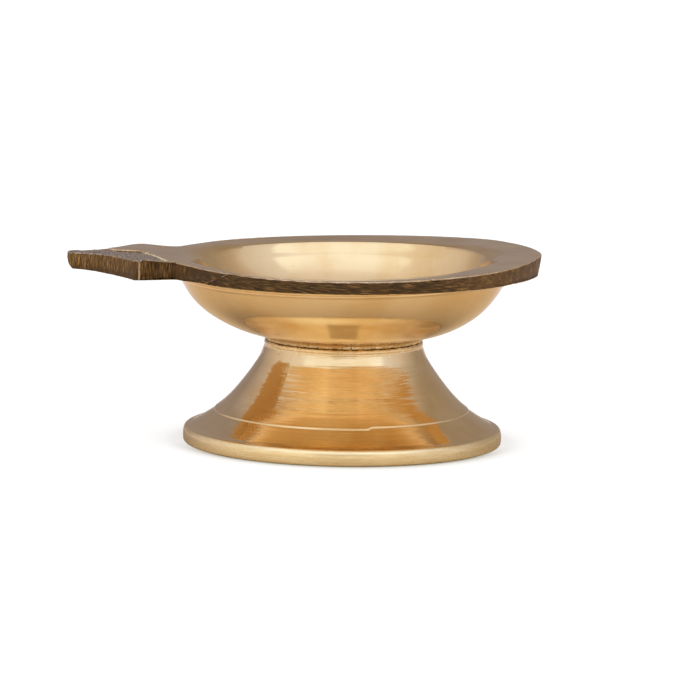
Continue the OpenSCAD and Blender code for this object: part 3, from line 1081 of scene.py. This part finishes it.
def plate_material():
    """The rim's top face, polished across by a wheel and lightly tarnished."""
    n = new_material("bowl_rim_top")
    vector, x, y, z = n.place()[:4]
    sweep = n.noise(n.join(n.times(x, 0.12), n.times(y, 1.3), n.times(z, 0.2)), 1.0, 3.0, 0.6)
    clouds = n.noise(vector, 0.09, 3.0, 0.5)
    colour = n.mix(n.ease(clouds, 0.35, 0.7), (0.86, 0.66, 0.43, 1), (0.72, 0.53, 0.34, 1))
    colour = n.mix(n.times(n.ease(sweep, 0.55, 0.75), 0.3), colour, (0.5, 0.36, 0.24, 1))
    roughness = n.plus(0.09, n.times(n.ease(sweep, 0.3, 0.7), 0.12))
    return n.surface(Base_Color=colour, Roughness=roughness, Metallic=1.0, Normal=n.bump(sweep, 0.02))


def hollow_material():
    """Stippled grey-brown, left as the mould made it, with painted shade dark along the step and a painted
    highlight gold on its edge.
    """
    n = new_material("handle_hollow_cast")
    vector, x = n.place()[:2]
    step = n.stored("step", "Fac")
    depth = n.split(n.stored("edge", "Vector"))[1]
    grain = n.noise(vector, 2.2, 3.0, 0.6)
    colour = n.mix(n.ease(grain, 0.40, 0.60), (0.035, 0.028, 0.026, 1), (0.72, 0.60, 0.50, 1))
    floor = n.ease(depth, 0.30, 0.42)
    # Painted shade low on the step's wall and on the hollow's floor beside it
    shade = n.times(n.ease(step, 0.75, 0.35), floor)
    colour = n.mix(n.times(shade, 0.85), colour, BROWN)
    # A painted highlight, pale gold, along the step's upper edge
    lip = n.times(n.less(1.0, floor), n.ease(step, 1.4, 0.8))
    colour = n.mix(n.times(lip, n.ease(x, -65.0, -62.5)), colour, BRASS_PALE)
    roughness = n.ease(grain, 0.3, 0.7, 0.55, 0.3)
    metal = n.ease(grain, 0.35, 0.6, 0.6, 1.0)
    return n.surface(Base_Color=colour, Roughness=roughness, Metallic=metal, Normal=n.bump(grain, 0.2))


def hardware_material(name, base, dark, rough):
    n = new_material(name)
    vector = n.place()[0]
    scuffs = n.noise(vector, 1.4, 4.0, 0.65)
    clouds = n.noise(vector, 0.4, 2.0, 0.5)
    colour = n.mix(n.ease(clouds, 0.4, 0.68), base, dark)
    roughness = n.plus(rough, n.times(n.ease(scuffs, 0.4, 0.7), 0.18))
    return n.surface(Base_Color=colour, Roughness=roughness, Metallic=1.0, Normal=n.bump(scuffs, 0.02))


def face_facts(obj):
    count = len(obj.data.polygons)
    centre, normal = np.zeros(count * 3), np.zeros(count * 3)
    obj.data.polygons.foreach_get("center", centre)
    obj.data.polygons.foreach_get("normal", normal)
    return centre.reshape(-1, 3) / MM, normal.reshape(-1, 3)


def give_materials(obj, materials, index=0):
    obj.data.materials.clear()
    for m in materials:
        obj.data.materials.append(m)
    obj.data.polygons.foreach_set("material_index", np.zeros(len(obj.data.polygons), np.int32) + index)
    obj.data.update()


def dress_bowl(obj):
    bowl_masks(obj)
    centre, normal = face_facts(obj)
    p = unlean(centre)
    x, z, up = p[:, 0], p[:, 2], normal[:, 2]
    r = np.hypot(x, p[:, 1])
    high, low = top_z(x), low_z(x)
    hollow = in_hollow(p)
    index = np.zeros(len(p), int)
    index[(z > high - 0.9) & (r > 43.2) & (up > 0.6)] = 2
    index[hollow & (z > high - 1.3) & (up > 0.3)] = 3
    beside = (z > low + np.where(x < -43, -0.1, 0.15)) & (r > 46.3) & (np.abs(up) < 0.93)
    index[beside & ~(hollow & (z > high - 1.1) & (up > 0.3))] = 1
    index[(up < -0.93) & (x < -43) & (r > 49)] = 4
    under = cast_material("handle_underside_cast", (0.62, 0.42, 0.20, 1), (0.84, 0.62, 0.34, 1))
    looks = [bowl_material(), filed_material(), plate_material(), hollow_material(), under]
    give_materials(obj, looks, index)


def dress_foot(obj):
    centre, normal = face_facts(obj)
    x, y, z = centre.T
    outward = (normal[:, 0] * x + normal[:, 1] * y) / np.maximum(np.hypot(x, y), 0.01)
    inside = (z < WEB_LOW_Z + 0.1) & (z > 0.3) & (outward < 0.2) & (normal[:, 2] < 0.2)
    cast = cast_material("foot_inside_cast", (0.14, 0.085, 0.04, 1), (0.58, 0.40, 0.20, 1))
    give_materials(obj, [foot_material(), cast], inside)


dress_bowl(bowl)
dress_foot(foot)
brass = hardware_material("hardware_brass_metal", (0.78, 0.58, 0.32, 1), (0.58, 0.40, 0.20, 1), 0.24)
give_materials(stud, [brass])
give_materials(nut, [brass])
steel = hardware_material("washer_brushed_steel", (0.60, 0.59, 0.57, 1), (0.42, 0.41, 0.40, 1), 0.28)
give_materials(washer, [steel])

# ---- Camera ----

CAMERA_AT = Vector((0.0, -1.5, 0.2425))
YAW, PITCH, ROLL = 0.0012, 0.1437, 0.017
forward = Vector((math.sin(YAW) * math.cos(PITCH), math.cos(YAW) * math.cos(PITCH), -math.sin(PITCH)))
right = forward.cross(Vector((0, 0, 1))).normalized()
up = right.cross(forward)
cam_right = math.cos(ROLL) * right + math.sin(ROLL) * up
cam_up = -math.sin(ROLL) * right + math.cos(ROLL) * up
camera_data = bpy.data.cameras.new("camera")
camera_data.sensor_width = 36.0
camera_data.lens = 282.3
camera_data.clip_start, camera_data.clip_end = 0.05, 50
camera = bpy.data.objects.new("camera", camera_data)
scene.collection.objects.link(camera)
axes = Matrix((cam_right, cam_up, -forward)).transposed().to_4x4()
camera.matrix_world = Matrix.Translation(CAMERA_AT) @ axes
scene.camera = camera

# ---- Floor, light and surroundings ----


WHITE = (1.0, 1.0, 1.0, 1)
# The room's tones in degrees round from behind, by the left, to the front and on by the right
ROOM = [(-180, (0.34, 0.29, 0.26)), (-150, (0.33, 0.29, 0.30)), (-130, (0.53, 0.47, 0.46)),
        (-110, (0.71, 0.64, 0.63)), (-85, (0.84, 0.80, 0.80)), (-60, (0.97, 0.97, 1.05)),
        (-20, (1.04, 1.06, 1.17)), (20, (1.04, 1.05, 1.17)), (45, (0.95, 0.95, 1.07)),
        (70, (0.83, 0.82, 0.91)), (90, (0.72, 0.68, 0.71)), (100, (0.60, 0.54, 0.53)),
        (125, (0.39, 0.34, 0.30)), (180, (0.34, 0.29, 0.26))]


def make_floor():
    size, sink = 12.0, -0.00005
    corners = [(-size, -size, sink), (size, -size, sink), (size, size, sink), (-size, size, sink)]
    mesh = bpy.data.meshes.new("floor")
    mesh.from_pydata(corners, [], [(0, 1, 2, 3)])
    floor = bpy.data.objects.new("floor", mesh)
    scene.collection.objects.link(floor)
    n = new_material("floor")
    # The camera sees it white, with a close contact shade that is strongest in front of the foot
    at = n.add("ShaderNodeTexCoord").outputs["Object"]
    contact = n.add("ShaderNodeAmbientOcclusion", {"Distance": 0.020}, samples=16).outputs["AO"]
    shade = n.add("ShaderNodeMapRange", {"Value": contact, "From Min": 0.47, "From Max": 0.97}).outputs[0]
    heading = n.add("ShaderNodeVectorMath", {0: at}, operation="NORMALIZE").outputs[0]
    beside = n.ease(n.split(heading)[1], -0.75, -0.1, 0.0, 0.75)
    tint = n.mix(n.most(shade, beside), (0.34, 0.30, 0.22, 1), WHITE)
    glow = n.add("ShaderNodeEmission", {"Color": tint, "Strength": 1.06}).outputs[0]
    n.surface(Base_Color=(0.90, 0.90, 0.90, 1), Roughness=0.22, Specular_IOR_Level=0.35)
    lit = n.shift(0.8, n.tree.nodes["Principled BSDF"].outputs[0], glow)
    # What the brass sees of it: glossier, with painted warm shade round the foot and painted light far out in
    # front
    away = n.ease(n.add("ShaderNodeVectorMath", {0: at}, operation="LENGTH").outputs["Value"], 0.09, 0.24)
    near = n.mix(away, (0.31, 0.24, 0.155, 1), (0.52, 0.46, 0.46, 1))
    painted_floor_shade_and_light = n.mix(n.ease(n.split(at)[1], -0.13, -0.5), near, (0.78, 0.73, 0.66, 1))
    facts = {"Base Color": painted_floor_shade_and_light, "Roughness": 0.1, "Specular IOR Level": 1.0}
    mirrored = n.add("ShaderNodeBsdfPrincipled", facts).outputs[0]
    seen = n.add("ShaderNodeLightPath").outputs["Is Camera Ray"]
    n.put(n.tree.nodes["Material Output"].inputs[0], n.shift(seen, mirrored, lit))
    mesh.materials.append(n.owner)


def make_world():
    """A white room for the camera. For light and reflections it is bright in front and
    overhead, and greyer behind."""
    world = bpy.data.worlds.new("studio")
    n = Nodes(world)
    x, y, z = n.split(n.add("ShaderNodeTexCoord").outputs["Generated"])
    front = n.times(y, -1.0)
    turn = n.math("ARCTAN2", x, front)
    ramp = n.add("ShaderNodeValToRGB", {0: n.plus(n.times(turn, 1 / TAU), 0.5)})
    elements = ramp.color_ramp.elements
    while len(elements) < len(ROOM):
        elements.new(0.5)
    for element, (degrees, colour) in zip(elements, ROOM):
        element.position = 0.5 + degrees / 360
    for element, (degrees, colour) in zip(elements, ROOM):
        element.color = (*colour, 1)
    room = ramp.outputs[0]
    warm = n.times(n.ease(z, 0.40, 0.26), n.ease(front, -0.1, 0.5))
    room = n.mix(warm, room, n.mix(1.0, room, (0.94, 0.86, 0.69, 1), "MULTIPLY"))
    # A soft box above the camera, and the camera itself, a dim patch
    across = n.math("ABSOLUTE", turn)
    box = n.times(n.times(n.ease(z, 0.42, 0.46), n.ease(z, 0.92, 0.52)), n.ease(across, 1.15, 1.0))
    room = n.mix(box, room, (1.14, 1.22, 1.36, 1))
    dim = n.times(n.times(n.ease(z, 0.07, 0.13), n.ease(z, 0.41, 0.35)), n.ease(across, 0.40, 0.28))
    room = n.mix(n.times(dim, 0.68), room, (0.44, 0.36, 0.28, 1))
    room = n.mix(n.ease(z, 0.78, 0.97), room, (0.82, 0.78, 0.82, 1))
    seen = n.add("ShaderNodeLightPath").outputs["Is Camera Ray"]
    n.put(n.tree.nodes["Background"].inputs["Color"], n.mix(seen, room, WHITE))
    scene.world = world


def make_light(name, at, size, power, glossy):
    data = bpy.data.lights.new(name, "AREA")
    data.shape, data.size, data.size_y = "RECTANGLE", size[0], size[1]
    data.energy = power
    light = bpy.data.objects.new(name, data)
    light.location = at
    light.rotation_mode = "QUATERNION"
    light.rotation_quaternion = (Vector(at) - Vector((0, 0, 0.03))).to_track_quat("Z", "Y")
    light.visible_glossy = glossy
    scene.collection.objects.link(light)


make_floor()
make_world()
make_light("overhead", (0, -0.3, 2.2), (3.0, 3.0), 125, False)
scene.view_settings.view_transform = "Standard"
scene.view_settings.look = "None"
